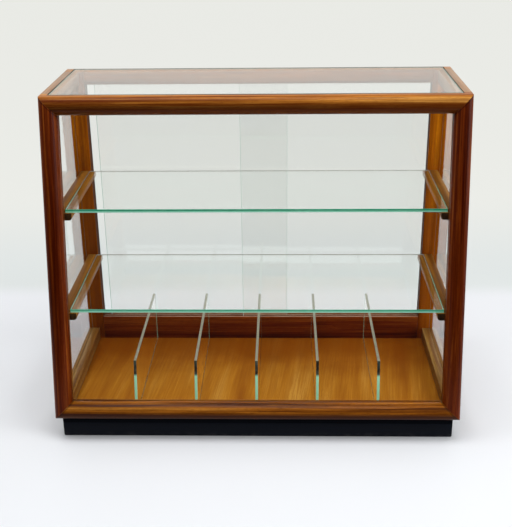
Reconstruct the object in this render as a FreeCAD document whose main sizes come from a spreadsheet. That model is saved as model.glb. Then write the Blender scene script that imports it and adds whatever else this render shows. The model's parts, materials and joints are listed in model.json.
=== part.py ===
import FreeCAD, Part
import os
import re

import Sketcher

# Countertop display cabinet: a glazed case with a sloping front frame of mitred
# bullnose members, an upright back frame with two sliding glass doors, two glass
# shelves on wooden bearers, glass dividers on the floor and a recessed plinth.
# X runs along the front, Y from front to back and Z up from the table.

doc = FreeCAD.newDocument("display_cabinet")
sheet = doc.addObject("Spreadsheet::Sheet", "Sizes")

driving_sizes = {
    # overall
    "width": 600,
    "carcass_depth": 281,
    "frame_height": 465,
    "lean": 10.5,
    # plinth and base
    "plinth_height": 23,
    "plinth_inset": 8,
    "plinth_board": 16,
    "plinth_round": 3,
    "glue_block": 22,
    "block_gap": 2,
    "base_thick": 12,
    # front frame
    "member": 26,
    "crown": 10,
    "front_depth": 15,
    "rebate_wide": 7,
    "rebate_deep": 8,
    "mitre_angle": 45,
    "spline_thick": 4,
    "spline_side": 16,
    "spline_set": 1.5,
    "bead_round": 2,
    # side rails
    "side_rail": 21,
    "side_base_height": 20,
    "side_top_height": 24,
    "outer_lip": 5,
    # back frame
    "back_thick": 20,
    "back_stile": 29,
    "back_top_height": 25,
    "back_base_height": 41,
    "back_round": 2,
    "back_lip": 3,
    "tenon_long": 9,
    "tenon_thick": 10,
    "tenon_margin": 6,
    "top_tenon_height": 9,
    "tenon_roof": 0.5,
    # glass
    "pane": 4,
    "thick_pane": 5,
    "pane_bite": 6,
    "side_bite": 5,
    "fit_gap": 0.2,
    "edge_gap": 1,
    "top_land": 12,
    "front_land": 10,
    # shelves and bearers
    "upper_level": 304,
    "lower_level": 158,
    "inside_gap": 2,
    "shelf_back_gap": 0.5,
    "bearer_gap": 3.5,
    "upstand": 13,
    "ledge": 10.5,
    "ledge_thick": 10,
    "ledge_round": 4,
    # dividers
    "bays": 6,
    "divider_height": 81,
    "groove_deep": 2,
    # sliding doors
    "door_overlap": 58,
    "door_bite": 5,
    "door_ajar": 17.5,
    "track_wide": 4.6,
    "track_lip": 4,
    "track_base_deep": 5,
    "track_top_deep": 9,
    "track_side_deep": 6,
    "door_top_bite": 4,
    # dowels and screws
    "dowel_radius": 2.5,
    "dowel_bite": 8,
    "dowel_line": 16,
    "low_dowel": 9,
    "high_dowel": 12,
    "bearer_dowel": 8,
    "screw_radius": 2,
    "screw_head": 4,
    "screw_bite": 12,
    "screw_end": 45,
    # how far a cutting shape runs past the wood
    "overrun": 5,
}

derived_sizes = {
    "slope": "tan(lean * 1deg)",
    "slant": "1 / cos(lean * 1deg)",
    "half": "width / 2",
    "base_top": "plinth_height + base_thick",
    "top_face": "base_top + frame_height",
    "frame_long": "frame_height * slant",
    "bull_radius": "(member ^ 2 / 4 + crown ^ 2) / (2 * crown)",
    "nose": "bull_radius - member / 2 * sin(lean * 1deg) - (bull_radius - crown) * cos(lean * 1deg)",
    "front_line": "(nose - carcass_depth) / 2",
    "back_face": "front_line + carcass_depth",
    "back_front": "back_face - back_thick",
    "opening_half": "half - member",
    "door_half": "half - back_stile",
    "front_tail": "front_depth * slope",
    "seat_base": "top_face - thick_pane",
    "top_front": "front_line + frame_height * slope + front_land",
    "rail_top": "base_top + back_base_height",
    "head_base": "top_face - back_top_height",
    "door_wide": "door_half + door_bite + door_overlap / 2",
    "door_base": "rail_top - track_base_deep",
    "door_top": "head_base + door_top_bite",
    "front_track": "back_front + track_lip + track_wide / 2",
    "rear_track": "back_face - track_lip - track_wide / 2",
    "bay": "2 * door_half / bays",
    "bearer_out": "half - outer_lip - pane - bearer_gap",
    "shelf_half": "bearer_out - upstand - edge_gap",
    "bearer_in": "shelf_half + edge_gap - ledge",
    "side_base_top": "base_top + side_base_height",
    "side_head": "top_face - side_top_height",
}

aliases = list(driving_sizes) + list(derived_sizes)


def bound(formula):
    """Formula with each size name pointing at its cell."""
    return re.sub(
        r"[a-z][a-z_]*",
        lambda word: "Sizes." + word.group(0) if word.group(0) in aliases else word.group(0),
        formula,
    )


for row, (alias, amount) in enumerate(driving_sizes.items(), start=1):
    sheet.set(f"A{row}", alias.replace("_", " "))
    sheet.set(f"B{row}", str(amount))
    sheet.setAlias(f"B{row}", alias)
for row, (alias, formula) in enumerate(derived_sizes.items(), start=len(driving_sizes) + 1):
    sheet.set(f"A{row}", alias.replace("_", " "))
    sheet.set(f"B{row}", "=" + formula)
    sheet.setAlias(f"B{row}", alias)
doc.recompute()


def amount_of(formula):
    """Present value of a formula, used to draw a sketch before its constraints take over."""
    return float(sheet.evalExpression(formula))


def bind(piece, **formulas):
    for prop, formula in formulas.items():
        piece.setExpression(prop, bound(formula))


def place(piece, x, y, z):
    for axis, formula in zip("xyz", (x, y, z)):
        piece.setExpression("Placement.Base." + axis, bound(formula))


def on_slope(height, behind):
    """Y at a height above the table, a square distance behind the front frame's edge plane."""
    return f"(front_line + (({height}) - base_top) * slope + ({behind}) * slant)"


def sided(side, inner, outer):
    """X span from inner to outer on the right, or its mirror image on the left."""
    return (inner, outer) if side > 0 else (f"-({outer})", f"-({inner})")


def box(name, x, y, z):
    piece = doc.addObject("Part::Box", name)
    bind(piece, Length=f"({x[1]}) - ({x[0]})", Width=f"({y[1]}) - ({y[0]})", Height=f"({z[1]}) - ({z[0]})")
    place(piece, x[0], y[0], z[0])
    return piece


def slab(name, x, z, y_low, y_high):
    """Upright slab seen from the side as a trapezium: y_low at its foot and y_high at its head."""
    piece = doc.addObject("Part::Wedge", name)
    piece.Placement = FreeCAD.Placement(FreeCAD.Vector(), FreeCAD.Rotation(FreeCAD.Vector(1, 1, 1), 120))
    bind(
        piece,
        Xmin=y_low[0], Xmax=y_low[1], X2min=y_high[0], X2max=y_high[1],
        Ymin=z[0], Ymax=z[1], Zmin=x[0], Zmax=x[1], Z2min=x[0], Z2max=x[1],
    )
    return piece


def rod(name, x, y, z, length, radius):
    """Round rod running back from a point."""
    piece = doc.addObject("Part::Cylinder", name)
    piece.Placement = FreeCAD.Placement(FreeCAD.Vector(), FreeCAD.Rotation(FreeCAD.Vector(-1, 0, 0), 90))
    bind(piece, Radius=radius, Height=length)
    place(piece, x, y, z)
    return piece


def cut(label, base, *tools):
    for tool in tools:
        piece = doc.addObject("Part::Cut", label + "_cut")
        piece.Base = base
        piece.Tool = tool
        base = piece
    return base


def fuse(label, *pieces):
    piece = doc.addObject("Part::MultiFuse", label + "_fuse")
    piece.Shapes = list(pieces)
    return piece


def group(label, pieces):
    piece = doc.addObject("Part::Compound", label + "_group")
    piece.Links = list(pieces)
    return piece


def lean_back(piece, x="0"):
    """Stand a piece drawn in the front frame's own plane on the base, leaning with it."""
    piece.Placement = FreeCAD.Placement(FreeCAD.Vector(), FreeCAD.Rotation(FreeCAD.Vector(-1, 0, 0), 1))
    piece.setExpression("Placement.Rotation.Angle", bound("lean * 1deg"))
    place(piece, x, "front_line", "base_top")
    return piece


def plane_of(body, role):
    return next(feature for feature in body.Origin.OriginFeatures if feature.Role == role)


def outline(body, name, role, *loops):
    """Closed loops drawn anticlockwise. A corner is x, y and, where a round follows, its radius."""
    sketch = body.newObject("Sketcher::SketchObject", name)
    sketch.AttachmentSupport = [(plane_of(body, role), "")]
    sketch.MapMode = "FlatFace"
    for loop in loops:
        first = sketch.GeometryCount
        points = [FreeCAD.Vector(amount_of(corner[0]), amount_of(corner[1]), 0) for corner in loop]
        for index, corner in enumerate(loop):
            start = points[index]
            end = points[(index + 1) % len(points)]
            if len(corner) == 3:
                radius = amount_of(corner[2])
                chord = end - start
                inward = FreeCAD.Vector(-chord.y, chord.x, 0).normalize()
                rise = radius - (radius ** 2 - (chord.Length / 2) ** 2) ** 0.5
                sketch.addGeometry(Part.Arc(start, (start + end) / 2 - inward * rise, end), False)
            else:
                sketch.addGeometry(Part.LineSegment(start, end), False)
        for index, corner in enumerate(loop):
            edge = first + index
            after = first + (index + 1) % len(loop)
            sketch.addConstraint(Sketcher.Constraint("Coincident", edge, 2, after, 1))
            for kind, formula, start in (
                ("DistanceX", corner[0], points[index].x),
                ("DistanceY", corner[1], points[index].y),
            ):
                number = sketch.addConstraint(Sketcher.Constraint(kind, -1, 1, edge, 1, start))
                sketch.setExpression(f"Constraints[{number}]", bound(formula))
            if len(corner) == 3:
                number = sketch.addConstraint(Sketcher.Constraint("Radius", edge, amount_of(corner[2])))
                sketch.setExpression(f"Constraints[{number}]", bound(corner[2]))
    return sketch


def mirrored(loop):
    """Loop reflected in X, still anticlockwise. A round moves to the corner at its other end."""
    reflected = []
    for index in reversed(range(len(loop))):
        x, y = loop[index][:2]
        reflected.append((f"-({x})", y, *loop[index - 1][2:]))
    return reflected


def pad(body, sketch, length):
    feature = body.newObject("PartDesign::Pad", sketch.Name + "_pad")
    feature.Profile = sketch
    bind(feature, Length=length)
    return feature


def pocket(body, sketch):
    """Cut right through the body on both sides of the sketch."""
    feature = body.newObject("PartDesign::Pocket", sketch.Name + "_pocket")
    feature.Profile = sketch
    feature.SideType = "Symmetric"
    feature.Type = "ThroughAll"
    return feature


def rounded_box(name, x, y, z, rounds, radius):
    """Box with some edges rounded. Each round gives the edge's middle as shares of the box's sides."""
    body = doc.addObject("PartDesign::Body", name)
    block = body.newObject("PartDesign::AdditiveBox", name + "_block")
    bind(block, Length=f"({x[1]}) - ({x[0]})", Width=f"({y[1]}) - ({y[0]})", Height=f"({z[1]}) - ({z[0]})")
    place(body, x[0], y[0], z[0])
    doc.recompute()
    sides = (block.Length.Value, block.Width.Value, block.Height.Value)
    middles = [edge.CenterOfMass for edge in block.Shape.Edges]
    edges = []
    for shares in rounds:
        wanted = FreeCAD.Vector(*(share * side for share, side in zip(shares, sides)))
        nearest = min(range(len(middles)), key=lambda index: middles[index].distanceToPoint(wanted))
        edges.append(f"Edge{nearest + 1}")
    feature = body.newObject("PartDesign::Fillet", name + "_round")
    feature.Base = (block, edges)
    bind(feature, Radius=radius)
    return body


nodes = {}

# Plinth: four boards set in from the frame, with glue blocks in the corners.
plinth_x = ("-(half - plinth_inset)", "half - plinth_inset")
plinth_y = ("front_line + plinth_inset", "back_face - plinth_inset")
plinth_z = ("0", "plinth_height")
nodes["plinth_front"] = rounded_box(
    "plinth_front", plinth_x, (plinth_y[0], plinth_y[0] + " + plinth_board"), plinth_z,
    ((0, 0, 0.5), (1, 0, 0.5)), "plinth_round",
)
nodes["plinth_back"] = rounded_box(
    "plinth_back", plinth_x, (plinth_y[1] + " - plinth_board", plinth_y[1]), plinth_z,
    ((0, 1, 0.5), (1, 1, 0.5)), "plinth_round",
)
between_boards = (plinth_y[0] + " + plinth_board", plinth_y[1] + " - plinth_board")
for side, hand in ((-1, "left"), (1, "right")):
    board_x = sided(side, "half - plinth_inset - plinth_board", "half - plinth_inset")
    nodes[f"plinth_{hand}"] = box(f"plinth_{hand}", board_x, between_boards, plinth_z)
blocks = []
for side in (-1, 1):
    board_inside = "half - plinth_inset - plinth_board"
    block_x = sided(side, f"{board_inside} - glue_block", board_inside)
    for block_y in (
        (between_boards[0], between_boards[0] + " + glue_block"),
        (between_boards[1] + " - glue_block", between_boards[1]),
    ):
        blocks.append(box("block", block_x, block_y, ("block_gap", "plinth_height")))
nodes["plinth_blocks"] = group("plinth_blocks", blocks)

# Front frame: four members of one bullnose section, mitred, with a loose spline in each mitre.
# They are drawn in the frame's own plane, Y behind it and Z up the slope, and then leant back.
splines = []
for side in (-1, 1):
    for height in ("member / 2", "frame_long - member / 2"):
        spline = doc.addObject("Part::Box", "spline")
        bind(spline, Length="spline_side", Width="spline_thick", Height="spline_side")
        spline.Placement = FreeCAD.Placement(FreeCAD.Vector(), FreeCAD.Rotation(FreeCAD.Vector(0, -1, 0), 1))
        spline.setExpression("Placement.Rotation.Angle", bound("mitre_angle * 1deg"))
        foot = f"{height} - spline_side * cos(mitre_angle * 1deg)"
        place(spline, f"{side} * (half - member / 2)", "spline_set", foot)
        splines.append(spline)
frame_splines = lean_back(group("front_frame_splines", splines))

mitre = "(member + overrun)"


def front_rail(name, section, mitres):
    body = doc.addObject("PartDesign::Body", name)
    pad(body, outline(body, name + "_section", "YZ_Plane", section), "width")
    pocket(body, outline(body, name + "_mitres", "XZ_Plane", *mitres))
    return lean_back(body, "-half")


base_section = [
    ("0", "0"),
    ("front_depth", "front_tail"),
    ("front_depth", "member - rebate_wide"),
    ("front_depth - rebate_deep", "member - rebate_wide"),
    ("front_depth - rebate_deep", "member"),
    ("0", "member", "bull_radius"),
]
base_mitres = (
    [("0", "0"), (mitre, mitre), ("0", mitre)],
    [("width", "0"), ("width", mitre), (f"width - {mitre}", mitre)],
)
head_section = [
    ("0", "frame_long - member"),
    ("front_depth - rebate_deep", "frame_long - member"),
    ("front_depth - rebate_deep", "frame_long - member + rebate_wide"),
    ("front_depth", "frame_long - member + rebate_wide"),
    ("front_depth", "frame_long + front_tail"),
    ("0", "frame_long", "bull_radius"),
]
head_mitres = (
    [("0", "frame_long"), ("0", f"frame_long - {mitre}"), (mitre, f"frame_long - {mitre}")],
    [
        ("width", "frame_long"),
        (f"width - {mitre}", f"frame_long - {mitre}"),
        ("width", f"frame_long - {mitre}"),
    ],
)
stile_section = [
    ("half", "0"),
    ("half", "front_depth"),
    ("opening_half + rebate_wide", "front_depth"),
    ("opening_half + rebate_wide", "front_depth - rebate_deep"),
    ("opening_half", "front_depth - rebate_deep"),
    ("opening_half", "0", "bull_radius"),
]
stile_mitres = (
    [("half", "0"), (f"half - {mitre}", mitre), (f"half - {mitre}", "-overrun"), ("half", "-overrun")],
    [
        ("half", "frame_long"),
        ("half", "frame_long + overrun"),
        (f"half - {mitre}", "frame_long + overrun"),
        (f"half - {mitre}", f"frame_long - {mitre}"),
    ],
)


def front_stile(name, side):
    facing = (lambda loop: loop) if side > 0 else mirrored
    body = doc.addObject("PartDesign::Body", name)
    pad(body, outline(body, name + "_section", "XY_Plane", facing(stile_section)), "frame_long")
    pocket(body, outline(body, name + "_mitres", "XZ_Plane", *(facing(loop) for loop in stile_mitres)))
    return lean_back(body)


def side_pane(name, side, gap):
    """Side glass, or with a gap the room that its grooves leave for it."""
    low = f"side_base_top - pane_bite - {gap}"
    high = f"side_head + pane_bite + {gap}"
    behind = f"front_depth - side_bite - {gap}"
    back = f"back_front + side_bite + {gap}"
    across = sided(side, f"half - outer_lip - pane - {gap}", f"half - outer_lip + {gap}")
    return slab(name, across, (low, high), (on_slope(low, behind), back), (on_slope(high, behind), back))


def divider(name, number, gap):
    """Glass divider, or with a gap the room that its grooves leave for it."""
    centre = f"({number} - bays / 2) * bay"
    low = "base_top - groove_deep"
    high = "base_top + divider_height"
    behind = "front_depth + inside_gap"
    back = f"back_front + groove_deep + {gap}"
    across = (f"{centre} - pane / 2 - {gap}", f"{centre} + pane / 2 + {gap}")
    return slab(name, across, (low, high), (on_slope(low, behind), back), (on_slope(high, behind), back))


def screw(x, y):
    """Countersunk screw driven up through the base."""
    shank = doc.addObject("Part::Cylinder", "shank")
    bind(shank, Radius="screw_radius", Height="base_thick + screw_bite")
    place(shank, x, y, "plinth_height")
    head = doc.addObject("Part::Cone", "head")
    bind(head, Radius1="screw_head", Radius2="screw_radius", Height="screw_head - screw_radius")
    place(head, x, y, "plinth_height")
    return fuse("screw", shank, head)


dowel_x = "(half - dowel_line)"
low_dowel_z = "base_top + low_dowel"
high_dowel_z = "top_face - high_dowel"
bearer_levels = {"upper": "base_top + upper_level", "lower": "base_top + lower_level"}

carcass_dowels = []
bearer_dowels = []
for side in (-1, 1):
    for height in (low_dowel_z, high_dowel_z):
        front_end = on_slope(height, "front_depth")
        for start in (f"{front_end} - dowel_bite", "back_front - dowel_bite"):
            carcass_dowels.append(
                rod("dowel", f"{side} * {dowel_x}", start, height, "2 * dowel_bite", "dowel_radius")
            )
    for level in bearer_levels.values():
        height = f"{level} - bearer_dowel"
        front_end = on_slope(height, "front_depth")
        for start in (f"{front_end} - dowel_bite", "back_front - dowel_bite"):
            x = f"{side} * (bearer_out - dowel_radius - edge_gap)"
            bearer_dowels.append(rod("dowel", x, start, height, "2 * dowel_bite", "dowel_radius"))
carcass_dowels = group("carcass_dowels", carcass_dowels)
bearer_dowels = group("bearer_dowels", bearer_dowels)

screws = []
for side in (-1, 1):
    for y in (on_slope("base_top", "front_depth") + " + screw_end", "back_front - screw_end"):
        screws.append(screw(f"{side} * {dowel_x}", y))
base_screws = group("base_screws", screws)

left_room = side_pane("left_room", -1, "fit_gap")
right_room = side_pane("right_room", 1, "fit_gap")
divider_numbers = range(1, int(amount_of("bays")))
divider_rooms = group("divider_rooms", [divider("room", number, "fit_gap") for number in divider_numbers])
top_seat = box(
    "top_seat",
    ("-(half - top_land)", "half - top_land"),
    ("top_front", "back_face - back_lip"),
    ("seat_base", "top_face + overrun"),
)
below_frame = box(
    "below_frame",
    ("-width", "width"),
    ("front_line - overrun", "front_line + front_depth + overrun"),
    ("base_top - member", "base_top"),
)

# Base panel: carries the frame and is the floor of the case, grooved for the dividers.
base_block = rounded_box(
    "base_block", plinth_x, plinth_y, ("plinth_height", "base_top"),
    ((0, 0, 0.5), (1, 0, 0.5), (0, 1, 0.5), (1, 1, 0.5)), "plinth_round",
)
nodes["base_panel"] = cut("base_panel", base_block, divider_rooms, base_screws)
nodes["base_screws"] = base_screws

nodes["front_bottom_rail"] = cut(
    "front_bottom_rail", front_rail("front_base", base_section, base_mitres),
    frame_splines, carcass_dowels,
)
nodes["front_top_rail"] = cut(
    "front_top_rail", front_rail("front_head", head_section, head_mitres),
    frame_splines, carcass_dowels, top_seat,
)
for side, hand, room in ((-1, "left", left_room), (1, "right", right_room)):
    nodes[f"front_{hand}_stile"] = cut(
        f"front_{hand}_stile", front_stile(f"front_{hand}", side),
        below_frame, frame_splines, bearer_dowels, room,
    )
nodes["front_frame_splines"] = frame_splines

# Front glass in the rebate, held from behind by four beads.
pane_half = "(opening_half + pane_bite)"
glass_front = "(front_depth - rebate_deep)"
nodes["front_glass"] = lean_back(group("front_glass", [box(
    "front_sheet",
    (f"-{pane_half}", pane_half),
    (glass_front, f"{glass_front} + pane"),
    ("member - pane_bite", "frame_long - member + pane_bite"),
)]))
bead_y = (f"{glass_front} + pane", "front_depth")
bead_half = "(opening_half + rebate_wide)"
for name, bead_x, bead_z, bead_edge in (
    ("bottom", (f"-{bead_half}", bead_half), ("member - rebate_wide", "member"), (0.5, 1, 1)),
    ("top", (f"-{bead_half}", bead_half),
     ("frame_long - member", "frame_long - member + rebate_wide"), (0.5, 1, 0)),
    ("left", sided(-1, "opening_half", bead_half), ("member", "frame_long - member"), (1, 1, 0.5)),
    ("right", sided(1, "opening_half", bead_half), ("member", "frame_long - member"), (0, 1, 0.5)),
):
    strip = rounded_box(f"{name}_strip", bead_x, bead_y, bead_z, (bead_edge,), "bead_round")
    nodes[f"front_{name}_bead"] = lean_back(group(f"front_{name}_bead", [strip]))

# Side rails: foot and head of each glazed side, between the front and back frames.
for side, hand, room in ((-1, "left", left_room), (1, "right", right_room)):
    rail_x = sided(side, "half - side_rail", "half")
    for part, low, high, tools in (
        ("bottom", "base_top", "side_base_top", (room, carcass_dowels, base_screws)),
        ("top", "side_head", "top_face", (room, carcass_dowels, top_seat)),
    ):
        rail = slab(
            f"{hand}_{part}_bar", rail_x, (low, high),
            (on_slope(low, "front_depth"), "back_front"), (on_slope(high, "front_depth"), "back_front"),
        )
        nodes[f"{hand}_{part}_rail"] = cut(f"{hand}_{part}_rail", rail, *tools)
    nodes[f"{hand}_glass"] = side_pane(f"{hand}_glass", side, "0")
nodes["carcass_dowels"] = carcass_dowels

# Back frame: stiles mortised for the rails, with two tracks all round for the doors.
tenon_y = ("(back_front + back_face - tenon_thick) / 2", "(back_front + back_face + tenon_thick) / 2")
base_tenon_z = ("base_top + tenon_margin", "rail_top - track_base_deep - tenon_margin")
head_tenon_z = ("seat_base - tenon_roof - top_tenon_height", "seat_base - tenon_roof")
tenon_half = "(door_half + tenon_long)"
base_tenon = box("base_tenon", (f"-{tenon_half}", tenon_half), tenon_y, base_tenon_z)
head_tenon = box("head_tenon", (f"-{tenon_half}", tenon_half), tenon_y, head_tenon_z)
tracks = []
for centre in ("front_track", "rear_track"):
    track_y = (f"{centre} - track_wide / 2", f"{centre} + track_wide / 2")
    track_x = ("-(door_half + track_side_deep)", "door_half + track_side_deep")
    tracks.append(box("track", track_x, track_y, ("door_base", "head_base + track_top_deep")))
tracks = group("tracks", tracks)

for side, hand, room in ((-1, "left", left_room), (1, "right", right_room)):
    inner = 0 if side > 0 else 1
    post = rounded_box(
        f"back_{hand}_post",
        sided(side, "door_half", "half"), ("back_front", "back_face"), ("base_top", "top_face"),
        ((inner, 0, 0.5),), "back_round",
    )
    nodes[f"back_{hand}_stile"] = cut(
        f"back_{hand}_stile", post,
        tracks, base_tenon, head_tenon, room, top_seat, carcass_dowels, bearer_dowels,
    )
between_posts = ("-door_half", "door_half")
base_bar = rounded_box(
    "back_base_bar", between_posts, ("back_front", "back_face"), ("base_top", "rail_top"),
    ((0.5, 0, 1),), "back_round",
)
nodes["back_bottom_rail"] = cut(
    "back_bottom_rail", fuse("back_base", base_bar, base_tenon), tracks, divider_rooms,
)
head_bar = box("back_head_bar", between_posts, ("back_front", "back_face"), ("head_base", "top_face"))
nodes["back_top_rail"] = cut("back_top_rail", fuse("back_head", head_bar, head_tenon), tracks, top_seat)

# Top glass, let in flush with the rails round it.
nodes["top_glass"] = box(
    "top_glass",
    ("-(half - top_land - fit_gap)", "half - top_land - fit_gap"),
    ("top_front + fit_gap", "back_face - back_lip - fit_gap"),
    ("seat_base", "top_face"),
)


# Shelf bearers: an upstand beside the glass and a ledge under it, rounded below.
def bearer(name, side, level):
    bottom = "(thick_pane + ledge_thick)"
    section = [
        ("bearer_in + ledge_round", f"-{bottom}"),
        ("bearer_out", f"-{bottom}"),
        ("bearer_out", "0"),
        ("shelf_half + edge_gap", "0"),
        ("shelf_half + edge_gap", "-thick_pane"),
        ("bearer_in", "-thick_pane"),
        ("bearer_in", f"ledge_round - {bottom}", "ledge_round"),
    ]
    end = [
        (on_slope(level, "front_depth"), "0"),
        (on_slope(level, "front_depth") + f" - overrun - {bottom} * slope", "0"),
        (on_slope(level, "front_depth") + f" - overrun - {bottom} * slope", f"-{bottom} - overrun"),
        (on_slope(f"{level} - {bottom} - overrun", "front_depth"), f"-{bottom} - overrun"),
    ]
    body = doc.addObject("PartDesign::Body", name)
    start = on_slope(f"{level} - {bottom}", "front_depth")
    sketch = outline(body, name + "_section", "XZ_Plane", section if side > 0 else mirrored(section))
    feature = pad(body, sketch, f"back_front - {start}")
    feature.Reversed = True
    sketch.setExpression("AttachmentOffset.Base.z", bound(f"-({start})"))
    pocket(body, outline(body, name + "_end", "YZ_Plane", end))
    place(body, "0", "0", level)
    return body


for part, level in bearer_levels.items():
    for side, hand in ((-1, "left"), (1, "right")):
        rail = bearer(f"{part}_{hand}_bar", side, level)
        nodes[f"{part}_{hand}_bearer"] = cut(f"{part}_{hand}_bearer", rail, bearer_dowels)
    nodes[f"{part}_shelf"] = box(
        f"{part}_shelf",
        ("-shelf_half", "shelf_half"),
        (on_slope(level, "front_depth + inside_gap"), "back_front - shelf_back_gap"),
        (f"{level} - thick_pane", level),
    )
nodes["bearer_dowels"] = bearer_dowels

# Glass dividers standing in grooves in the floor and the back rail.
for number in divider_numbers:
    nodes[f"divider_{number}"] = divider(f"divider_{number}", number, "0")

# Sliding doors, each in its own track. The left one stands a little open.
ajar_edge = "door_ajar - door_half - door_bite"
shut_edge = "door_half + door_bite"
for hand, centre, door_x in (
    ("left", "rear_track", (ajar_edge, f"{ajar_edge} + door_wide")),
    ("right", "front_track", (f"{shut_edge} - door_wide", shut_edge)),
):
    nodes[f"{hand}_door"] = box(
        f"{hand}_door", door_x, (f"{centre} - pane / 2", f"{centre} + pane / 2"), ("door_base", "door_top"),
    )

for node, piece in nodes.items():
    piece.Label = node
doc.recompute()

for piece in doc.Objects:
    if {"Invalid", "Error"} & set(piece.State):
        raise RuntimeError(f"{piece.Label} failed: {piece.State}")
    if piece.isDerivedFrom("PartDesign::Pocket") and piece.Shape.Volume >= piece.BaseFeature.Shape.Volume:
        raise RuntimeError(f"{piece.Label} cuts nothing")
for node, piece in nodes.items():
    if piece.Shape.isNull() or not piece.Shape.isValid() or not piece.Shape.Solids:
        raise RuntimeError(f"{node} has no sound solid")

os.makedirs("parts", exist_ok=True)
for node, piece in nodes.items():
    piece.Shape.exportStep(f"parts/{node}.step")
    print(node, len(piece.Shape.Solids), round(piece.Shape.Volume), piece.Shape.BoundBox)
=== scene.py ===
import json
import math

import bmesh
import bpy
from mathutils import Matrix, Vector

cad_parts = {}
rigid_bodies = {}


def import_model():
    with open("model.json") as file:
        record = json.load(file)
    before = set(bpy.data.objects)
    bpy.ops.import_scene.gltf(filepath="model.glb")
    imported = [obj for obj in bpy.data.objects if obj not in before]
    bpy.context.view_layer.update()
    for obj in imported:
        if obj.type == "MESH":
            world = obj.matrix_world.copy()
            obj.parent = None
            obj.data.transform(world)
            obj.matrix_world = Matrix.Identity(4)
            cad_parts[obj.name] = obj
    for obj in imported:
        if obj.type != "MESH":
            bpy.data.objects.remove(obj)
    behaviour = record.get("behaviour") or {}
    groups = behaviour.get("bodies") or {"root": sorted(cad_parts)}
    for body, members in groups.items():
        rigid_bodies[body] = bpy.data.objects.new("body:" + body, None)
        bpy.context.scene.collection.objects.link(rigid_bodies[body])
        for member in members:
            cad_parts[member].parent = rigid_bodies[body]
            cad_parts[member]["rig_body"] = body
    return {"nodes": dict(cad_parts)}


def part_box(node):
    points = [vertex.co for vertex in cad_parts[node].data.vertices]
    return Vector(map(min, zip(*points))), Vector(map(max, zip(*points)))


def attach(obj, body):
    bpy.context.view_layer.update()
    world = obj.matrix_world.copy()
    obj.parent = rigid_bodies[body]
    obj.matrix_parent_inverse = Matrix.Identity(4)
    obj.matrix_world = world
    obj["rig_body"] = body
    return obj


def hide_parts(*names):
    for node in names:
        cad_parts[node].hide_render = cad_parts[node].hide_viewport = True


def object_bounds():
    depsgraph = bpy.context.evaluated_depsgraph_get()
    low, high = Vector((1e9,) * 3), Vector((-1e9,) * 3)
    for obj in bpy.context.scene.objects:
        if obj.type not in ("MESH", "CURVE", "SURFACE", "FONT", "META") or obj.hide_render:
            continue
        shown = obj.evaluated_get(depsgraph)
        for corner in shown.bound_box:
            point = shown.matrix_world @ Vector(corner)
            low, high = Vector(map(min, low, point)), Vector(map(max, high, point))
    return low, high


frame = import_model()
cad_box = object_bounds()

# Plinth. Four planed boards set in under the case, glued at the corners and painted
# satin black. The paint is rubbed along its edges and dusty near the counter.

MM = 0.001


def eased(node, arris):
    """A copy of a worked piece with its sharp edges eased, riding where the piece itself does."""
    weld, flat, sharp, soft = 0.002 * MM, math.radians(1), math.radians(30), math.radians(32)
    source = frame["nodes"][node]
    shape = bmesh.new()
    shape.from_mesh(source.data)
    bmesh.ops.remove_doubles(shape, verts=shape.verts, dist=weld)
    bmesh.ops.dissolve_limit(shape, angle_limit=flat, verts=shape.verts, edges=shape.edges)
    crisp = [e for e in shape.edges if e.is_manifold and e.is_convex and e.calc_face_angle() > sharp]
    bmesh.ops.bevel(
        shape, geom=crisp, offset=arris, segments=2, profile=0.5, affect="EDGES", clamp_overlap=True,
    )
    for face in shape.faces:
        face.smooth = True
        face.material_index = 0
    for edge in shape.edges:
        edge.smooth = not edge.is_manifold or edge.calc_face_angle() < soft
    mesh = bpy.data.meshes.new(node + "_finished")
    shape.to_mesh(mesh)
    shape.free()
    piece = bpy.data.objects.new(node + "_finished", mesh)
    bpy.context.scene.collection.objects.link(piece)
    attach(piece, source["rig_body"])
    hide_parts(node)
    return piece


def fitted(node, finish, arris):
    """A piece with eased edges and one finish all over."""
    piece = eased(node, arris)
    piece.data.materials.append(finish)


def shade(red, green, blue):
    """Colour as a paint chart gives it, 0 to 255, turned into light."""
    parts = [part / 255 for part in (red, green, blue)]
    return (*(p / 12.92 if p <= 0.04045 else ((p + 0.055) / 1.055) ** 2.4 for p in parts), 1.0)


def feed(tree, socket, value):
    """An input takes a plain value or another node's output."""
    if isinstance(value, bpy.types.NodeSocket):
        tree.links.new(value, socket)
    else:
        socket.default_value = value


def add(tree, kind, **sockets):
    """A shader node whose named inputs are fed."""
    made = tree.nodes.new("ShaderNode" + kind)
    for name, value in sockets.items():
        feed(tree, made.inputs[name.replace("_", " ")], value)
    return made


def worked_out(tree, kind, operation, terms):
    """The outputs of a node of arithmetic."""
    made = tree.nodes.new("ShaderNode" + kind)
    made.operation = operation
    for socket, term in zip(made.inputs, terms):
        feed(tree, socket, term)
    return made.outputs


def sums(tree, operation, *terms):
    """Arithmetic on numbers."""
    return worked_out(tree, "Math", operation, terms)[0]


def times(tree, first, second):
    return sums(tree, "MULTIPLY", first, second)


def vectors(tree, operation, *terms):
    """Arithmetic on places."""
    return worked_out(tree, "VectorMath", operation, terms)[0]


def split(tree, vector):
    """The X, Y and Z of a place or a direction."""
    return add(tree, "SeparateXYZ", Vector=vector).outputs


def blend(tree, share, first, second):
    """A colour between two others."""
    made = tree.nodes.new("ShaderNodeMix")
    made.data_type = "RGBA"
    factor, colour_a, colour_b = (made.inputs[number] for number in (0, 6, 7))
    for socket, value in ((factor, share), (colour_a, first), (colour_b, second)):
        feed(tree, socket, value)
    return made.outputs[2]


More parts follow.
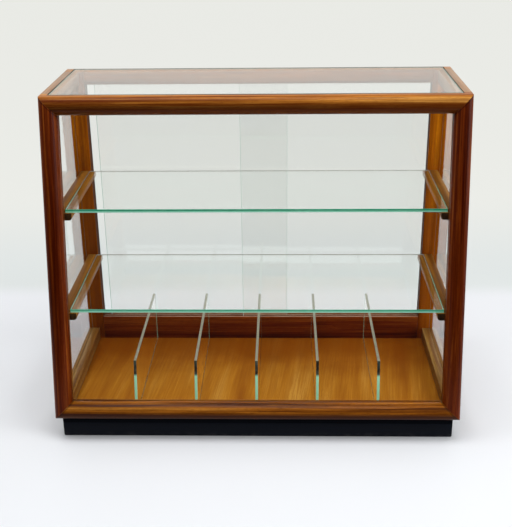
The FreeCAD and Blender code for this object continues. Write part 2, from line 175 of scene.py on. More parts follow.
def ramp(tree, value, low, high, start=0.0, end=1.0):
    """Smooth change from start to end as the value goes from low to high."""
    made = add(tree, "MapRange", Value=value, From_Min=low, From_Max=high, To_Min=start, To_Max=end)
    made.interpolation_type = "SMOOTHSTEP"
    return made.outputs[0]


def speckle(tree, place, scale, detail=2.0, roughness=0.5):
    """Even mottling, with so many changes in a millimetre."""
    return add(tree, "TexNoise", Vector=place, Scale=scale, Detail=detail, Roughness=roughness).outputs[0]


def streaks(tree, place, rates, detail, roughness=0.5):
    """Mottling drawn out by its own rate along each axis."""
    return speckle(tree, vectors(tree, "MULTIPLY", place, rates), 1.0, detail, roughness)


def in_millimetres(tree):
    """Where a point of the piece lies, in millimetres."""
    return vectors(tree, "MULTIPLY", add(tree, "TexCoord").outputs["Object"], (1 / MM, 1 / MM, 1 / MM))


def relief(tree, shader, height, strength, depth):
    """Fine unevenness of a surface."""
    bump = add(tree, "Bump", Strength=strength, Distance=depth, Height=height)
    feed(tree, shader.inputs["Normal"], bump.outputs[0])


def effect(name, inputs, outputs):
    """An empty node group with named sockets, and its two end nodes."""
    tree = bpy.data.node_groups.new(name, "ShaderNodeTree")
    for way, sockets in (("INPUT", inputs), ("OUTPUT", outputs)):
        for socket, kind in sockets.items():
            tree.interface.new_socket(name=socket, in_out=way, socket_type="NodeSocket" + kind)
    return tree, tree.nodes.new("NodeGroupInput").outputs, tree.nodes.new("NodeGroupOutput").inputs


def placed(tree, group, **sockets):
    """An effect set into a material with its own values."""
    made = tree.nodes.new("ShaderNodeGroup")
    made.node_tree = group
    for name, value in sockets.items():
        feed(tree, made.inputs[name], value)
    return made.outputs


def finish_named(name):
    """A new material, its node tree and its Principled shader."""
    material = bpy.data.materials.new(name)
    material.use_nodes = True
    return material, material.node_tree, material.node_tree.nodes["Principled BSDF"]


def edge_rub():
    """Where an edge is rubbed: broken patches along the arrises, a width in millimetres to each side."""
    tree, given, out = effect("edge_rub", {"Place": "Vector", "Width": "Float"}, {"Mask": "Float"})
    softened = add(tree, "Bevel", Radius=times(tree, given["Width"], MM))
    softened.samples = 4
    sharp = add(tree, "NewGeometry").outputs["Normal"]
    alike = worked_out(tree, "VectorMath", "DOT_PRODUCT", (softened.outputs[0], sharp))["Value"]
    near = ramp(tree, alike, 0.975, 0.80)
    broken = ramp(tree, speckle(tree, given["Place"], 0.11, 4.0, 0.65), 0.42, 0.62)
    tree.links.new(times(tree, near, broken), out["Mask"])
    return tree


PLINTH_ARRIS = 0.8 * MM
PLINTH_RUB_WIDTH = 1.2
PAINT_BODY = shade(7, 10, 17)
PAINT_STROKES = shade(14, 19, 31)
PAINT_RUBBED = shade(88, 84, 82)
COUNTER_DUST = shade(120, 118, 116)
DUST_HEIGHT = 9.0

rubbed_edges = edge_rub()


def black_paint():
    """Brushed satin paint with a little dust at its foot."""
    material, tree, paint = finish_named("plinth_black")
    place = in_millimetres(tree)
    strokes = streaks(tree, place, (0.02, 0.02, 0.5), 3.0)
    peel = speckle(tree, place, 0.7, 1.0)
    colour = blend(tree, strokes, PAINT_BODY, PAINT_STROKES)
    low = ramp(tree, split(tree, place)["Z"], DUST_HEIGHT, 0.0)
    dust = times(tree, low, ramp(tree, speckle(tree, place, 0.09, 4.0), 0.4, 0.75, 0.0, 0.16))
    colour = blend(tree, dust, colour, COUNTER_DUST)
    rub = placed(tree, rubbed_edges, Place=place, Width=PLINTH_RUB_WIDTH)["Mask"]
    colour = blend(tree, times(tree, rub, 0.1), colour, PAINT_RUBBED)
    feed(tree, paint.inputs["Base Color"], colour)
    feed(tree, paint.inputs["Roughness"], ramp(tree, strokes, 0.3, 0.7, 0.34, 0.5))
    paint.inputs["Specular IOR Level"].default_value = 0.06
    uneven = sums(tree, "ADD", times(tree, strokes, 0.6), times(tree, peel, 0.4))
    relief(tree, paint, uneven, 0.25, 0.15 * MM)
    return material


plinth_black = black_paint()
for board in ("plinth_front", "plinth_back", "plinth_left", "plinth_right"):
    fitted(board, plinth_black, PLINTH_ARRIS)

# Glue blocks, dowels and mitre splines. Bare beech, sawn and planed, which only shows
# from below or where a joint is taken apart. The grain is fine with short flecks.

JOINERY_ARRIS = 0.4 * MM
BEECH_PALE = shade(214, 178, 128)
BEECH_MAIN = shade(190, 150, 98)
BEECH_DARK = shade(140, 100, 58)
FRONT_TO_BACK = (0, 0, math.pi / 2)


def wood_grain():
    """Timber cut along X: broad figure, fine fibres and pores, from three tones of one wood.
    Figure is the width of the broad figure in millimetres, and Pores is how open the wood is."""
    tree, given, out = effect(
        "wood_grain",
        {
            "Place": "Vector", "Pale": "Color", "Main": "Color", "Dark": "Color",
            "Figure": "Float", "Pores": "Float",
        },
        {"Colour": "Color", "Height": "Float", "Sheen": "Float"},
    )
    bend_rates, fibre_rates, pore_rates = (0.004, 0.012, 0.012), (0.012, 0.6, 0.6), (0.10, 2.4, 2.4)
    sway_y, sway_z, figure_rate = 9.0, 6.0, 0.0022
    bend = streaks(tree, given["Place"], bend_rates, 1.0)
    drift = add(tree, "CombineXYZ", Y=times(tree, bend, sway_y), Z=times(tree, bend, sway_z))
    place = vectors(tree, "ADD", given["Place"], drift.outputs[0])
    across = sums(tree, "DIVIDE", 1.0, given["Figure"])
    figure_rates = add(tree, "CombineXYZ", X=figure_rate, Y=across, Z=across).outputs[0]
    figure = streaks(tree, place, figure_rates, 3.0, 0.55)
    fibre = streaks(tree, place, fibre_rates, 3.0, 0.6)
    pore = streaks(tree, place, pore_rates, 1.0)
    pitted = times(tree, ramp(tree, pore, 0.56, 0.68), given["Pores"])
    colour = blend(tree, ramp(tree, figure, 0.28, 0.54), given["Dark"], given["Main"])
    colour = blend(tree, ramp(tree, figure, 0.48, 0.74), colour, given["Pale"])
    colour = blend(tree, ramp(tree, fibre, 0.34, 0.66, 0.5, 0.0), colour, given["Dark"])
    colour = blend(tree, ramp(tree, fibre, 0.58, 0.76, 0.0, 0.35), colour, given["Pale"])
    colour = blend(tree, times(tree, pitted, 0.7), colour, given["Dark"])
    tree.links.new(colour, out["Colour"])
    tree.links.new(sums(tree, "SUBTRACT", times(tree, fibre, 0.5), pitted), out["Height"])
    sheen = sums(tree, "ADD", times(tree, figure, 0.6), times(tree, fibre, 0.4))
    tree.links.new(sheen, out["Sheen"])
    return tree


timber = wood_grain()


def along_grain(tree, lay, shift):
    """Place in the board, turned so that X follows the grain and shifted to another part of the tree."""
    return add(tree, "Mapping", Vector=in_millimetres(tree), Location=shift, Rotation=lay).outputs[0]


def bare_wood():
    """Planed wood with no finish on it."""
    material, tree, wood = finish_named("bare_beech")
    grain = placed(
        tree, timber, Place=along_grain(tree, FRONT_TO_BACK, (40, 10, 0)), Figure=11.0, Pores=0.5,
        Pale=BEECH_PALE, Main=BEECH_MAIN, Dark=BEECH_DARK,
    )
    feed(tree, wood.inputs["Base Color"], grain["Colour"])
    feed(tree, wood.inputs["Roughness"], ramp(tree, grain["Sheen"], 0.3, 0.7, 0.62, 0.78))
    relief(tree, wood, grain["Height"], 0.4, 0.2 * MM)
    return material


beech = bare_wood()
for joinery in ("plinth_blocks", "carcass_dowels", "bearer_dowels", "front_frame_splines"):
    fitted(joinery, beech, JOINERY_ARRIS)

# Base screws. Plain steel, countersunk up through the base panel into the side rails,
# with turning marks round the heads.

SCREW_ARRIS = 0.2 * MM
STEEL_DULL = shade(150, 150, 150)
STEEL_BRIGHT = shade(196, 194, 190)


def turned_steel():
    """Bare steel with fine marks from the lathe."""
    material, tree, steel = finish_named("screw_steel")
    marks = streaks(tree, in_millimetres(tree), (6.0, 6.0, 0.4), 2.0)
    feed(tree, steel.inputs["Base Color"], blend(tree, marks, STEEL_DULL, STEEL_BRIGHT))
    feed(tree, steel.inputs["Roughness"], ramp(tree, marks, 0.3, 0.7, 0.28, 0.46))
    steel.inputs["Metallic"].default_value = 1.0
    return material


fitted("base_screws", turned_steel(), SCREW_ARRIS)

# Base panel. A veneered board that closes the case below: its top is the warm floor of
# the showcase, with the grain running front to back, and its edges are painted black.

FLOOR_ARRIS = 0.5 * MM
FLOOR_PALE = shade(204, 148, 60)
FLOOR_MAIN = shade(184, 120, 30)
FLOOR_DARK = shade(146, 82, 12)
FLOOR_REAR_SHADE = shade(122, 58, 0)
FLOOR_EDGE_PAINT = shade(5, 7, 13)
FLOOR_LAY = (0, 0, math.radians(-84))
FLOOR_REAR_SHADE_FROM = 20.0, 150.0
FLOOR_REAR_SHADE_RAGGED = 110.0
VENEER_BELOW_TOP = 1.2, 0.6


def facing(tree, kind="Normal"):
    """Which way the surface faces, as X, Y and Z."""
    return split(tree, add(tree, "NewGeometry").outputs[kind])


def floor_veneer():
    """Varnished veneer with painted shade towards the rear, on a black-edged board."""
    material, tree, veneer = finish_named("floor_veneer")
    place = in_millimetres(tree)
    grain = placed(
        tree, timber, Place=along_grain(tree, FLOOR_LAY, (0, 320, 45)), Figure=34.0, Pores=0.45,
        Pale=FLOOR_PALE, Main=FLOOR_MAIN, Dark=FLOOR_DARK,
    )
    spot = split(tree, place)
    # Painted shade towards the rear, with a ragged front edge.
    cloud = times(tree, speckle(tree, place, 0.014, 3.0), FLOOR_REAR_SHADE_RAGGED)
    rear = ramp(tree, sums(tree, "ADD", spot["Y"], cloud), *FLOOR_REAR_SHADE_FROM)
    colour = blend(tree, times(tree, rear, 0.85), grain["Colour"], FLOOR_REAR_SHADE)
    floor_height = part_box("base_panel")[1].z / MM
    upper = ramp(tree, spot["Z"], *(floor_height - below for below in VENEER_BELOW_TOP))
    top = times(tree, upper, ramp(tree, facing(tree)["Z"], 0.5, 0.8))
    feed(tree, veneer.inputs["Base Color"], blend(tree, top, FLOOR_EDGE_PAINT, colour))
    feed(tree, veneer.inputs["Roughness"], ramp(tree, grain["Sheen"], 0.3, 0.7, 0.5, 0.68))
    veneer.inputs["Specular IOR Level"].default_value = 0.02
    relief(tree, veneer, grain["Height"], 0.2, 0.12 * MM)
    return material


fitted("base_panel", floor_veneer(), FLOOR_ARRIS)

# Front frame. Four bullnose members in red-brown hardwood, mitred and splined, under an old
# semi-gloss varnish that has rubbed thin on the outer arrises. Painted shade darkens their faces
# the further they turn down, and darkens the wood round the top glass.

FRAME_ARRIS = 0.6 * MM
WOOD_RUB_WIDTH = 2.0
WORN_WOOD = shade(188, 142, 96)
BLEACHED_WOOD = shade(170, 143, 119)
END_GRAIN = shade(24, 14, 8)
MITRE_LINE = shade(26, 8, 3)
TRACK_SHADE = shade(14, 8, 4)
GLASS_SEAM_SHADE = shade(34, 20, 14)
SEAM_SHADE_BELOW_TOP = 4.0, 1.0
MITRE_LINE_REACH = 0.9, 0.3
DARKENING_FADES_OVER = 60.0

frame_low, frame_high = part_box("front_left_stile")
frame_set_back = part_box("front_top_rail")[0].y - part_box("front_bottom_rail")[0].y
frame_lean = math.atan2(frame_set_back, frame_high.z - frame_low.z)
LEANING = (frame_lean, math.pi / 2, 0)
ALONG_FRONT = (0, 0, 0)


def glass_seam_shade():
    """Painted shade: a dark line on the wood round the let-in top glass."""
    tree, given, out = effect("glass_seam_shade", {"Place": "Vector"}, {"Mask": "Float"})
    low, high = (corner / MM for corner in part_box("top_glass"))
    middle, reach = (low + high) / 2, (high - low) / 2
    off = split(tree, vectors(tree, "ABSOLUTE", vectors(tree, "SUBTRACT", given["Place"], tuple(middle))))
    past_side = sums(tree, "SUBTRACT", off["X"], reach.x)
    past_end = times(tree, sums(tree, "SUBTRACT", off["Y"], reach.y), 0.45)
    outside = sums(tree, "MAXIMUM", past_side, past_end)
    ragged = sums(tree, "ADD", 0.5, times(tree, speckle(tree, given["Place"], 0.012, 3.0), 3.0))
    line = ramp(tree, sums(tree, "DIVIDE", outside, ragged), 1.0, 0.6)
    near_top = (high.z - below for below in SEAM_SHADE_BELOW_TOP)
    at_top = ramp(tree, split(tree, given["Place"])["Z"], *near_top)
    tree.links.new(times(tree, line, at_top), out["Mask"])
    return tree


def mitre_seam():
    """Fine dark line where the front members meet, and how far a face points down."""
    tree, given, out = effect("mitre_seam", {"Place": "Vector"}, {"Mask": "Float", "Under": "Float"})
    low, high = frame_low / MM, frame_high / MM
    spot = split(tree, given["Place"])
    across = sums(tree, "SUBTRACT", -low.x, sums(tree, "ABSOLUTE", spot["X"]))
    back = times(tree, sums(tree, "SUBTRACT", spot["Y"], low.y), math.sin(frame_lean))
    rise = times(tree, sums(tree, "SUBTRACT", spot["Z"], low.z), math.cos(frame_lean))
    climb = sums(tree, "ADD", rise, back)
    from_top = sums(tree, "SUBTRACT", (high.z - low.z) / math.cos(frame_lean), climb)
    nearest = sums(tree, "MINIMUM", climb, from_top)
    off = sums(tree, "ABSOLUTE", sums(tree, "SUBTRACT", across, nearest))
    tree.links.new(ramp(tree, off, *MITRE_LINE_REACH), out["Mask"])
    tree.links.new(ramp(tree, facing(tree)["Z"], 0.42, -0.1), out["Under"])
    return tree


glass_seam_shading = glass_seam_shade()
mitres = mitre_seam()


def varnished(name, lay, shift, tones, figure=12.0, rub=0.35, coat=0.12, bleached=0.0,
              seam_and_under_shade=None, track_shade_from=None, darker_below=None):
    """Varnished hardwood in a pale, a main and a dark tone: how far its edges are rubbed, how thick
    its top coat is, how far its top is bleached, how much painted shade darkens the faces of a
    member with mitres as they turn down (such a member also gets a fine dark line at its mitres),
    where from the middle the painted shade in its door grooves begins, and the height below which
    it is darker. Painted shade also darkens it in a line round the top glass. Front ends, which
    soak up the staining, are dark."""
    pale, main, dark = tones
    material, tree, wood = finish_named(name)
    place = in_millimetres(tree)
    spot, faces = split(tree, place), facing(tree)
    grain = placed(
        tree, timber, Place=along_grain(tree, lay, shift), Figure=figure, Pores=0.7,
        Pale=pale, Main=main, Dark=dark,
    )
    worn = placed(tree, rubbed_edges, Place=place, Width=WOOD_RUB_WIDTH)["Mask"]
    colour = blend(tree, times(tree, worn, rub), grain["Colour"], WORN_WOOD)
    faded = ramp(tree, speckle(tree, place, 0.06, 4.0), 0.25, 0.6, 0.55 * bleached, bleached)
    upward_face = ramp(tree, faces["Z"], 0.8, 0.95)
    colour = blend(tree, times(tree, upward_face, faded), colour, BLEACHED_WOOD)
    if lay == FRONT_TO_BACK:
        colour = blend(tree, ramp(tree, faces["Y"], -0.6, -0.9, 0.0, 0.85), colour, END_GRAIN)
    # Darker towards the bottom.
    if darker_below is not None:
        fade = darker_below + DARKENING_FADES_OVER, darker_below - DARKENING_FADES_OVER
        colour = blend(tree, ramp(tree, spot["Z"], *fade, 0.0, 0.75), colour, dark)
    # Painted shade on faces that turn down, and a fine dark line at the mitres.
    if seam_and_under_shade is not None:
        joint = placed(tree, mitres, Place=place)
        colour = blend(tree, times(tree, joint["Under"], seam_and_under_shade), colour, dark)
        colour = blend(tree, times(tree, joint["Mask"], 0.8), colour, MITRE_LINE)
    # Painted shade down in the door grooves.
    if track_shade_from is not None:
        deep = ramp(tree, sums(tree, "ABSOLUTE", spot["X"]), track_shade_from + 0.6, track_shade_from)
        colour = blend(tree, times(tree, deep, 0.94), colour, TRACK_SHADE)
    # Painted shade in a line round the top glass.
    seam_shade = placed(tree, glass_seam_shading, Place=place)["Mask"]
    colour = blend(tree, times(tree, seam_shade, 0.85), colour, GLASS_SEAM_SHADE)
    feed(tree, wood.inputs["Base Color"], colour)
    feed(tree, wood.inputs["Roughness"], ramp(tree, grain["Sheen"], 0.3, 0.7, 0.3, 0.46))
    wood.inputs["Specular IOR Level"].default_value = 0.04
    wood.inputs["Coat Weight"].default_value = coat
    wood.inputs["Coat Roughness"].default_value = 0.16
    relief(tree, wood, grain["Height"], 0.35, 0.15 * MM)
    return material


front_top_tones = (shade(226, 162, 74), shade(190, 116, 36), shade(92, 28, 2))
front_foot_tones = (shade(200, 132, 48), shade(156, 88, 16), shade(50, 12, 0))
front_stile_tones = (shade(160, 82, 24), shade(110, 40, 4), shade(58, 10, 0))
for member, lay, shift, tones, gloss, painted_under_shade in (
    ("front_top_rail", ALONG_FRONT, (0, 90, 20), front_top_tones, 0.1, 0.75),
    ("front_bottom_rail", ALONG_FRONT, (700, 10, 160), front_foot_tones, 0.1, 0.92),
    ("front_left_stile", LEANING, (30, 400, 80), front_stile_tones, 0.04, 0.0),
    ("front_right_stile", LEANING, (900, 60, 240), front_stile_tones, 0.04, 0.0),
):
    varnish = varnished(
        member + "_varnish", lay, shift, tones, figure=6.0, rub=0.12, coat=gloss, seam_and_under_shade=painted_under_shade,
    )
    fitted(member, varnish, FRAME_ARRIS)

# Front glass and its beads. A clear sheet laid in the frame's rebate from behind and held by
# four slim beads with a rounded inner edge.

GLASS_ARRIS = 0.5 * MM
BEAD_ARRIS = 0.3 * MM
GLASS_CLOUD = shade(176, 214, 196)
GLASS_WIPED = shade(254, 255, 255)
REAR_EDGE_FROM = 40.0, 50.0

whole_height = tuple(corner[2] / MM for corner in cad_box)


def ground_edge(name, lower, upper, heights, ends=None, rear=None, above=None):
    """Ground edge of a sheet: green from iron in the glass, with painted light and shade changing its
    tone between two heights, painted shade at its ends against wood, and other tones at its rear and
    along its top. It glows a little by its own tone: a painted glow of light piped through the sheet."""
    material, tree, edge = finish_named(name)
    place = in_millimetres(tree)
    spot, faces = split(tree, place), facing(tree, "True Normal")
    cloudy = speckle(tree, place, 0.12, 3.0)
    # Painted light and shade: the tone changes between two heights.
    tone = blend(tree, ramp(tree, spot["Z"], *heights), lower, upper)
    if rear:
        tone = blend(tree, ramp(tree, spot["Y"], *REAR_EDGE_FROM), tone, rear)
    # Painted shade on the ends against wood.
    if ends:
        tone = blend(tree, ramp(tree, sums(tree, "ABSOLUTE", faces["X"]), 0.4, 0.6), tone, ends)
    if above:
        tone = blend(tree, ramp(tree, faces["Z"], 0.5, 0.6), tone, above)
    tone = blend(tree, ramp(tree, cloudy, 0.35, 0.75, 0.0, 0.1), tone, GLASS_CLOUD)
    feed(tree, edge.inputs["Base Color"], tone)
    # Painted glow: the edge shines with its own tone.
    feed(tree, edge.inputs["Emission Color"], tone)
    edge.inputs["Emission Strength"].default_value = 0.3
    feed(tree, edge.inputs["Roughness"], ramp(tree, cloudy, 0.3, 0.7, 0.28, 0.36))
    edge.inputs["Coat Weight"].default_value = 0.1
    edge.inputs["Coat Roughness"].default_value = 0.08
    return material


def shown_by(material, share, first, second):
    """The material shows the second shader by a share, and the first one otherwise."""
    tree = material.node_tree
    mixed = tree.nodes.new("ShaderNodeMixShader")
    for socket, output in zip(mixed.inputs, (share, first.outputs[0], second.outputs[0])):
        tree.links.new(output, socket)
    tree.links.new(mixed.outputs[0], tree.nodes["Material Output"].inputs["Surface"])


def clear_glass(name, tint, smears, index=1.5):
    """Polished sheet glass. Lamps shine through it, and faint wiping marks dull it here and there."""
    material, tree, glass = finish_named(name)
    wiped = streaks(tree, in_millimetres(tree), (0.012, 0.03, 0.02), 5.0, 0.7)
    feed(tree, glass.inputs["Roughness"], ramp(tree, wiped, 0.55, 0.8, 0.0, smears))
    feed(tree, glass.inputs["Base Color"], blend(tree, ramp(tree, wiped, 0.4, 0.8), tint, GLASS_WIPED))
    glass.inputs["Transmission Weight"].default_value = 1.0
    glass.inputs["IOR"].default_value = index
    path = add(tree, "LightPath").outputs
    lamp_light = sums(tree, "MAXIMUM", path["Is Shadow Ray"], path["Is Diffuse Ray"])
    shown_by(material, lamp_light, glass, add(tree, "BsdfTransparent", Color=(1, 1, 1, 1)))
    return material


def pane(node, sheet, edge):
    """A sheet of glass: two polished faces, and an edge ground and eased all round."""
    piece = eased(node, GLASS_ARRIS)
    piece.data.materials.append(sheet)
    piece.data.materials.append(edge)
    broad = sorted(piece.data.polygons, key=lambda face: face.area)[-2:]
    for face in piece.data.polygons:
        face.use_smooth = False
        face.material_index = 1
    for face in broad:
        face.material_index = 0


case_sheet = clear_glass("case_sheet", shade(254, 255, 255), 0.008)
case_edge = ground_edge("case_sheet_edge", shade(96, 140, 122), shade(70, 112, 96), whole_height)
pane("front_glass", case_sheet, case_edge)

bead_tones = (shade(168, 112, 48), shade(128, 72, 22), shade(72, 28, 6))
for side, lay in (("top", ALONG_FRONT), ("bottom", ALONG_FRONT), ("left", LEANING), ("right", LEANING)):
    bead = f"front_{side}_bead"
    varnish = varnished(bead + "_varnish", lay, (120, 70, 30), bead_tones, figure=7.0, coat=0.0)
    fitted(bead, varnish, BEAD_ARRIS)

# Side frames. A foot and a head rail on each side, dowelled between front and back and
# grooved for the side glass. Hands have worn the varnish off their upper faces.

side_head_tones = (shade(204, 172, 140), shade(174, 132, 98), shade(118, 76, 48))
side_foot_tones = (shade(164, 126, 64), shade(128, 84, 32), shade(80, 42, 12))
for hand, shift in (("left", (0, 30, 400)), ("right", (500, 0, 90))):
    head, foot = f"{hand}_top_rail", f"{hand}_bottom_rail"
    head_varnish = varnished(
        head + "_varnish", FRONT_TO_BACK, shift, side_head_tones, rub=0.4, coat=0.1, bleached=0.55,
    )
    foot_varnish = varnished(foot + "_varnish", FRONT_TO_BACK, shift, side_foot_tones, rub=0.7, coat=0.3)
    fitted(head, head_varnish, FRAME_ARRIS)
    fitted(foot, foot_varnish, FRAME_ARRIS)
    pane(f"{hand}_glass", case_sheet, case_edge)

# Back frame. Two stiles and two rails, tenoned, with twin grooves all round for the sliding
# doors. The wood is oranger than the front, with painted shade down in the stiles' grooves, and
# the stiles are darker towards the bottom.

DARKER_BELOW = 340.0
UPRIGHT = (0, math.pi / 2, 0)

back_darker_tones = (shade(212, 128, 10), shade(188, 102, 2), shade(116, 52, 0))
back_brighter_tones = (shade(238, 148, 10), shade(218, 124, 2), shade(140, 66, 0))
back_foot_tones = (shade(170, 88, 22), shade(134, 56, 10), shade(74, 20, 3))
track_mouth = min(abs(corner.x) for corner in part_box("back_left_stile")) / MM
for member, lay, shift, tones, track_shade_from, darker_from in (
    ("back_left_stile", UPRIGHT, (10, 30, 20), back_darker_tones, track_mouth, DARKER_BELOW),
    ("back_right_stile", UPRIGHT, (300, 80, 60), back_brighter_tones, track_mouth, DARKER_BELOW),
    ("back_bottom_rail", ALONG_FRONT, (50, 20, 300), back_foot_tones, None, None),
    ("back_top_rail", ALONG_FRONT, (400, 60, 20), back_darker_tones, None, None),
):
    varnish = varnished(
        member + "_varnish", lay, shift, tones, coat=0.0, bleached=0.8, track_shade_from=track_shade_from, darker_below=darker_from,
    )
    fitted(member, varnish, FRAME_ARRIS)

# Shelf bearers. Rebated hardwood strips between the frames: an upstand at the side and a
# ledge under the glass, rounded below.

BEARER_ARRIS = 0.4 * MM

bearer_tones = (shade(176, 124, 50), shade(142, 92, 28), shade(90, 50, 10))
for tier in ("upper", "lower"):
    for hand in ("left", "right"):
        bearer = f"{tier}_{hand}_bearer"
        varnish = varnished(bearer + "_varnish", FRONT_TO_BACK, (60, 200, 10), bearer_tones)
        fitted(bearer, varnish, BEARER_ARRIS)

# Shelves. Two sheets of thicker float glass lying on the bearers. Their ground edges show
# deep green above and painted light in a pale tone below, with painted shade at their ends.

PALE_BELOW = 1.2
DEEP_ABOVE = 1.6

shelf_sheet = clear_glass("shelf_sheet", shade(252, 255, 254), 0.01)
for tier, deep_green in (("upper", shade(14, 146, 106)), ("lower", shade(62, 160, 126))):
    underside, top_side = (corner.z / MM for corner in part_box(f"{tier}_shelf"))
    shelf_edge = ground_edge(
        f"{tier}_shelf_edge", shade(150, 222, 192), deep_green,
        (underside + PALE_BELOW, top_side - DEEP_ABOVE),
        ends=shade(26, 18, 10), rear=shade(150, 148, 140),
    )
    pane(f"{tier}_shelf", shelf_sheet, shelf_edge)

# Dividers. Five low upright panes in grooves in the floor and the back rail, their front
# edges painted light green where lit, with painted shade darkening their upper part.

DIVIDER_COUNT = 5
SHADE_FROM_SHARE = 0.70
SHADE_WITHIN_SHARE = 0.06

divider_foot, divider_top = (corner.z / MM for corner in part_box("divider_1"))
divider_height = divider_top - divider_foot
# Painted shade darkens the edges from this height up.
shade_from = divider_foot + SHADE_FROM_SHARE * divider_height
divider_sheet = clear_glass("divider_sheet", shade(250, 254, 252), 0.015)
divider_edge = ground_edge(
    "divider_edge", shade(150, 212, 176), shade(10, 14, 10),
    (shade_from, shade_from + SHADE_WITHIN_SHARE * divider_height), above=shade(116, 111, 88),
)
for number in range(1, DIVIDER_COUNT + 1):
    pane(f"divider_{number}", divider_sheet, divider_edge)

# Sliding doors. Two panes in twin grooves at the back: the left one runs behind the right
# one and stands a finger's width open.

door_sheet = clear_glass("door_sheet", shade(254, 255, 254), 0.008, index=1.6)
door_edge = ground_edge("door_edge", shade(176, 200, 190), shade(186, 206, 197), whole_height)
for hand in ("left", "right"):
    pane(f"{hand}_door", door_sheet, door_edge)

# Top glass. A sheet let in flush with the rails round it, of the same clear glass as the
# front and the sides.

pane("top_glass", case_sheet, case_edge)

# Stage. A wide pale counter under soft overhead light, with the room in front left dim, and
# the camera a little right of centre, looking down at the front.

COUNTER = shade(239, 241, 245)
COUNTER_FAR = shade(226, 231, 230)
WALL = shade(237, 238, 233)
WALL_MIRRORED = shade(205, 206, 206)
DIM_ROOM = shade(44, 43, 44)
DIM_ROOM_LIGHT = shade(90, 90, 90)
LIT_WALL = shade(176, 176, 176)
GLARE = (1, 1, 1, 1)
COUNTER_REACH = 6.0
COUNTER_BACK = 0.36, 0.44
WALL_BEGINS = 0.45, 1.0
COUNTER_END = -0.36, -0.38
BRIGHT_STRIP = -0.10, -0.16
SHADOW_REACH = 0.42, 0.80
COUNTER_CORNERS = ((-1, -1), (1, -1), (1, 1), (-1, 1))

counter_mesh = bpy.data.meshes.new("counter")
counter_mesh.from_pydata(
    [(x * COUNTER_REACH, y * COUNTER_REACH, 0) for x, y in COUNTER_CORNERS], [], [(0, 1, 2, 3)],
)
counter = bpy.data.objects.new("counter", counter_mesh)
bpy.context.scene.collection.objects.link(counter)


def counter_top():
    """A pale counter that keeps the case's shadow and turns plain white further out. Seen in the glass,
    it is bright just in front of the case and ends soon after."""
    material, tree, lit = finish_named("counter_top")
    spot = split(tree, add(tree, "TexCoord").outputs["Object"])
    depth = spot["Y"]
    squares = sums(tree, "ADD", sums(tree, "POWER", spot["X"], 2), sums(tree, "POWER", depth, 2))
    reach = sums(tree, "POWER", squares, 0.5)
    far = blend(tree, ramp(tree, depth, *WALL_BEGINS), COUNTER_FAR, WALL)
    tone = blend(tree, ramp(tree, depth, *COUNTER_BACK), COUNTER, far)
    feed(tree, lit.inputs["Base Color"], tone)
    lit.inputs["Roughness"].default_value = 0.6
    path = add(tree, "LightPath").outputs
    turns = sums(tree, "SUBTRACT", path["Ray Depth"], path["Transmission Depth"])
    bounced = sums(tree, "GREATER_THAN", turns, 0.5)
    past_counter = times(tree, bounced, ramp(tree, depth, *COUNTER_END))
    near_front = times(tree, bounced, ramp(tree, depth, *BRIGHT_STRIP))
    glare = blend(tree, near_front, tone, GLARE)
    shown = add(tree, "Emission", Color=blend(tree, past_counter, glare, DIM_ROOM), Strength=1.0)
    seen = sums(tree, "MAXIMUM", path["Is Camera Ray"], path["Is Transmission Ray"])
    seen = sums(tree, "MAXIMUM", seen, path["Is Glossy Ray"])
    open_counter = times(tree, seen, ramp(tree, reach, *SHADOW_REACH, 0.10, 0.93))
    mirrored = sums(tree, "MAXIMUM", past_counter, times(tree, near_front, seen))
    shown_by(material, sums(tree, "MAXIMUM", open_counter, mirrored), lit, shown)
    return material


counter.data.materials.append(counter_top())


def room():
    """A bright wall behind, and in front a dim room with a lit wall high up."""
    world = bpy.data.worlds.new("room")
    world.use_nodes = True
    tree = world.node_tree
    direction = split(tree, add(tree, "TexCoord").outputs["Generated"])
    behind = ramp(tree, direction["Y"], -0.75, 0.15)
    path = add(tree, "LightPath").outputs
    mirrored = sums(tree, "GREATER_THAN", path["Glossy Depth"], 0.5)
    high_wall = blend(tree, ramp(tree, direction["Z"], 0.14, 0.34), DIM_ROOM, LIT_WALL)
    front = blend(tree, mirrored, DIM_ROOM_LIGHT, high_wall)
    light = blend(tree, behind, front, blend(tree, mirrored, WALL_MIRRORED, WALL))
    seen = sums(tree, "MAXIMUM", path["Is Camera Ray"], path["Is Transmission Ray"])
    direct = times(tree, seen, sums(tree, "SUBTRACT", 1.0, mirrored))
    feed(tree, tree.nodes["Background"].inputs["Color"], blend(tree, direct, light, WALL))
    bpy.context.scene.world = world


room()


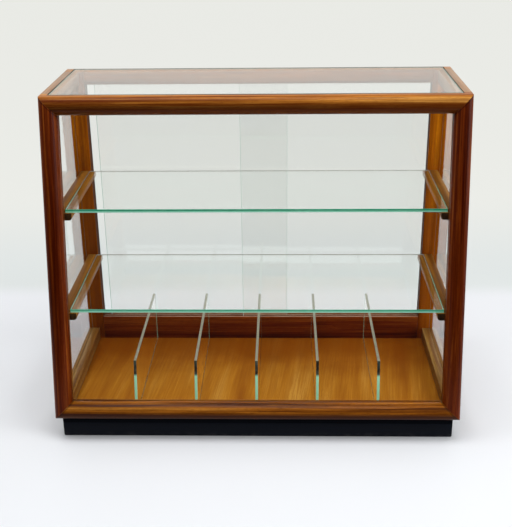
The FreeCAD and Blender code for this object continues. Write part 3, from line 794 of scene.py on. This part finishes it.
def lamp(name, place, aim, sides, power):
    """A soft rectangular lamp turned towards a point."""
    data = bpy.data.lights.new(name, "AREA")
    data.shape = "RECTANGLE"
    data.size, data.size_y = sides
    data.energy = power
    holder = bpy.data.objects.new(name, data)
    holder.location = place
    holder.rotation_mode = "QUATERNION"
    holder.rotation_quaternion = (Vector(aim) - Vector(place)).to_track_quat("-Z", "Y")
    bpy.context.scene.collection.objects.link(holder)


lamp("overhead", place=(-0.1, -0.30, 1.85), aim=(0.0, 0.0, 0.25), sides=(1.8, 0.8), power=22.0)
lamp("window", place=(1.9, -0.55, 0.9), aim=(0.0, 0.0, 0.3), sides=(1.0, 1.2), power=18.0)
lamp("fill", place=(-1.9, -0.1, 0.9), aim=(0.0, 0.0, 0.3), sides=(1.0, 1.2), power=0.5)

PHOTO_SIZE = 512, 527
FOCAL_PIXELS = 930.0
CAMERA_PLACE = (0.0377, -1.3173, 0.7842)
PITCH, YAW, ROLL = (math.radians(angle) for angle in (22.885, -1.728, -0.701))

forward = Vector((math.sin(YAW) * math.cos(PITCH), math.cos(YAW) * math.cos(PITCH), -math.sin(PITCH)))
sideways = Vector((math.cos(YAW), -math.sin(YAW), 0))
upward = sideways.cross(forward)
image_right = math.cos(ROLL) * sideways + math.sin(ROLL) * upward
image_up = math.cos(ROLL) * upward - math.sin(ROLL) * sideways
turned = Matrix((image_right, image_up, -forward)).transposed().to_4x4()
lens = bpy.data.cameras.new("photo_camera")
lens.sensor_width = 36.0
lens.lens = FOCAL_PIXELS * lens.sensor_width / max(PHOTO_SIZE)
lens.clip_start, lens.clip_end = 0.01, 50.0
camera = bpy.data.objects.new("photo_camera", lens)
camera.matrix_world = Matrix.Translation(CAMERA_PLACE) @ turned
bpy.context.scene.collection.objects.link(camera)
bpy.context.scene.camera = camera

bpy.context.scene.view_settings.view_transform = "Standard"
bpy.context.scene.cycles.max_bounces = 24
bpy.context.scene.cycles.transmission_bounces = 24
bpy.context.scene.cycles.transparent_max_bounces = 32
